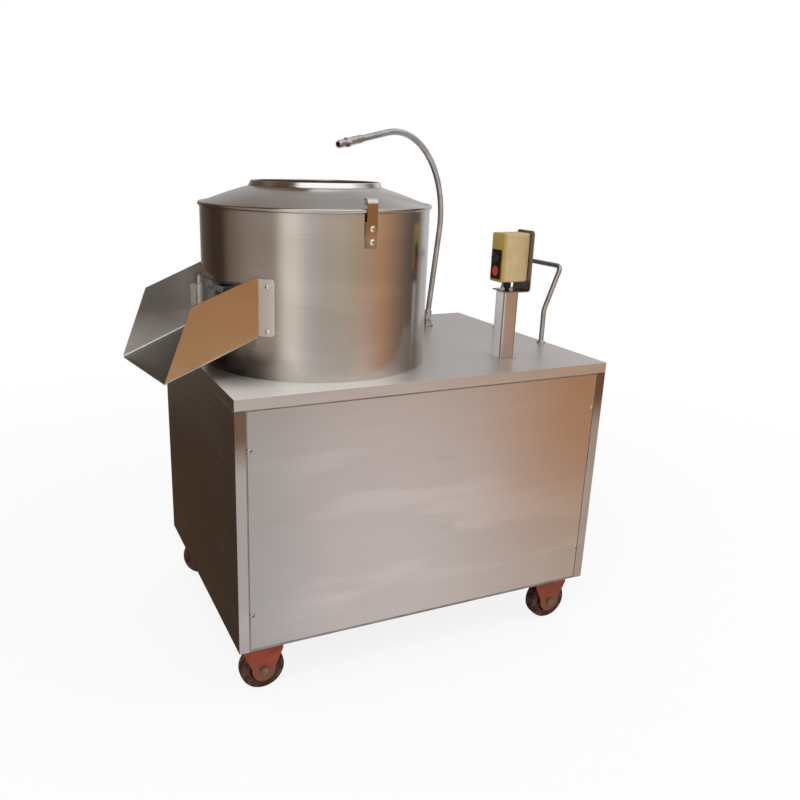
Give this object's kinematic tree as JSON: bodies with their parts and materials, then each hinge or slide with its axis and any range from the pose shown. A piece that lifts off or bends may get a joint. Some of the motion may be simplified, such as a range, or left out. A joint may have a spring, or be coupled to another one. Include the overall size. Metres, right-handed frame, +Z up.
{
  "type": "electric potato peeler",
  "caption": "Wheeled commercial potato peeler: abrasive disc in a lidded drum, discharge chute with gate, water gooseneck, switch post and push handle on a steel cabinet with belt drive.",
  "frame": {"origin": "on the floor, under the middle of the machine's bounding box", "axes": "+Z up; +X to the right, from the chute towards the push handle; -Y is the front with the screwed panel; +Y is the back with drain and water inlet"},
  "size_m": [0.9596, 0.623, 1.0733],
  "materials": {
    "stainless": "brushed stainless sheet",
    "polished": "smooth stainless tube and plate",
    "frame_paint": "dark primer paint",
    "caster_paint": "red-orange paint, semi-gloss",
    "tyre": "worn matt rubber",
    "wheel_core": "cast, matt",
    "fastener": "zinc plated, bright",
    "abrasive": "coarse carborundum grit in resin",
    "shaft_steel": "ground steel",
    "iron": "cast iron, oiled",
    "bearing_steel": "ground bearing rings",
    "rubber_black": "black rubber",
    "motor_paint": "blue-grey motor enamel",
    "fan_plastic": "black nylon",
    "gate_bar": "blue-grey paint",
    "cream_plastic": "cream moulded plastic",
    "yellow_plastic": "yellow faced cover",
    "green_plastic": "dark green button",
    "red_plastic": "red button",
    "black_plastic": "black nylon"
  },
  "bodies": {
    "machine": {"frame": "frame_paint", "top_plate": "stainless", "left_panel": "stainless", "right_panel": "stainless", "back_panel": "stainless", "front_panel": "stainless", "panel_screws": "fastener", "caster_forks": "caster_paint", "caster_axles": "fastener", "drum_shell": "stainless", "drum_floor": "stainless", "abrasive_lining": "abrasive", "lid": "polished", "lid_clips": "polished", "drum_screws": "fastener", "chute": "stainless", "gate_hinge": "fastener", "bearing_housing": "iron", "bearings": "bearing_steel", "shaft_seal": "rubber_black", "housing_bolts": "fastener", "v_belts": "rubber_black", "motor_body": "motor_paint", "motor_terminal_box": "motor_paint", "motor_fan_cover": "motor_paint", "motor_plate": "frame_paint", "motor_bolts": "fastener", "drain_pipe": "polished", "water_inlet": "polished", "gooseneck_base": "polished", "switch_post": "stainless", "switch_bracket": "stainless", "switch_box": "cream_plastic", "switch_cover": "yellow_plastic", "button_plate": "black_plastic", "switch_cable": "black_plastic", "push_handle": "polished", "mains_gland": "black_plastic"},
    "rotor": {"peeling_disc": "abrasive", "disc_nut": "polished", "main_shaft": "shaft_steel", "large_pulley": "iron", "waste_paddles": "rubber_black"},
    "motor_rotor": {"motor_shaft": "shaft_steel", "motor_pulley": "iron", "motor_fan": "fan_plastic"},
    "gate": {"gate": "stainless", "gate_handle": "gate_bar"},
    "gooseneck": {"gooseneck": "polished", "nozzle": "polished"},
    "on_button": {"on_button": "green_plastic"},
    "off_button": {"off_button": "red_plastic"},
    "wheel_front_left": {"wheel_front_left": "wheel_core", "tyre_front_left": "tyre"},
    "wheel_front_right": {"wheel_front_right": "wheel_core", "tyre_front_right": "tyre"},
    "wheel_back_left": {"wheel_back_left": "wheel_core", "tyre_back_left": "tyre"},
    "wheel_back_right": {"wheel_back_right": "wheel_core", "tyre_back_right": "tyre"}
  },
  "joints": [
    {"name": "disc_spin", "type": "hinge", "parent": "machine", "child": "rotor", "pos_m": [-0.09791, -0.0405, 0.673], "axis": [0, 0, 1], "continuous": true},
    {"name": "motor_spin", "type": "hinge", "parent": "machine", "child": "motor_rotor", "pos_m": [0.21209, -0.0405, 0.427], "axis": [0, 0, 1], "continuous": true},
    {"name": "gate_swing", "type": "hinge", "parent": "machine", "child": "gate", "pos_m": [-0.32026, 0.03231, 0.733], "axis": [0, 0, -1], "range_deg": [0, 70]},
    {"name": "gooseneck_swivel", "type": "hinge", "parent": "machine", "child": "gooseneck", "pos_m": [0.28009, 0.1545, 0.628], "axis": [0, 0, 1], "range_deg": [-75, 75]},
    {"name": "on_press", "type": "slide", "parent": "machine", "child": "on_button", "axis": [1, 0, 0], "range_m": [0, 0.004]},
    {"name": "off_press", "type": "slide", "parent": "machine", "child": "off_button", "axis": [1, 0, 0], "range_m": [-0.004, 0]},
    {"name": "wheel_front_left_roll", "type": "hinge", "parent": "machine", "child": "wheel_front_left", "pos_m": [-0.29091, -0.2595, 0.045], "axis": [0, 1, 0], "continuous": true},
    {"name": "wheel_back_left_roll", "type": "hinge", "parent": "machine", "child": "wheel_back_left", "pos_m": [-0.29091, 0.2325, 0.045], "axis": [0, 1, 0], "continuous": true},
    {"name": "wheel_front_right_roll", "type": "hinge", "parent": "machine", "child": "wheel_front_right", "pos_m": [0.39509, -0.2595, 0.045], "axis": [0, 1, 0], "continuous": true},
    {"name": "wheel_back_right_roll", "type": "hinge", "parent": "machine", "child": "wheel_back_right", "pos_m": [0.39509, 0.2325, 0.045], "axis": [0, 1, 0], "continuous": true}
  ],
  "couplings": [
    {"joint": "motor_spin", "follows": "disc_spin", "ratio": 4.0137},
    {"joint": "off_press", "follows": "on_press", "ratio": -1}
  ]
}
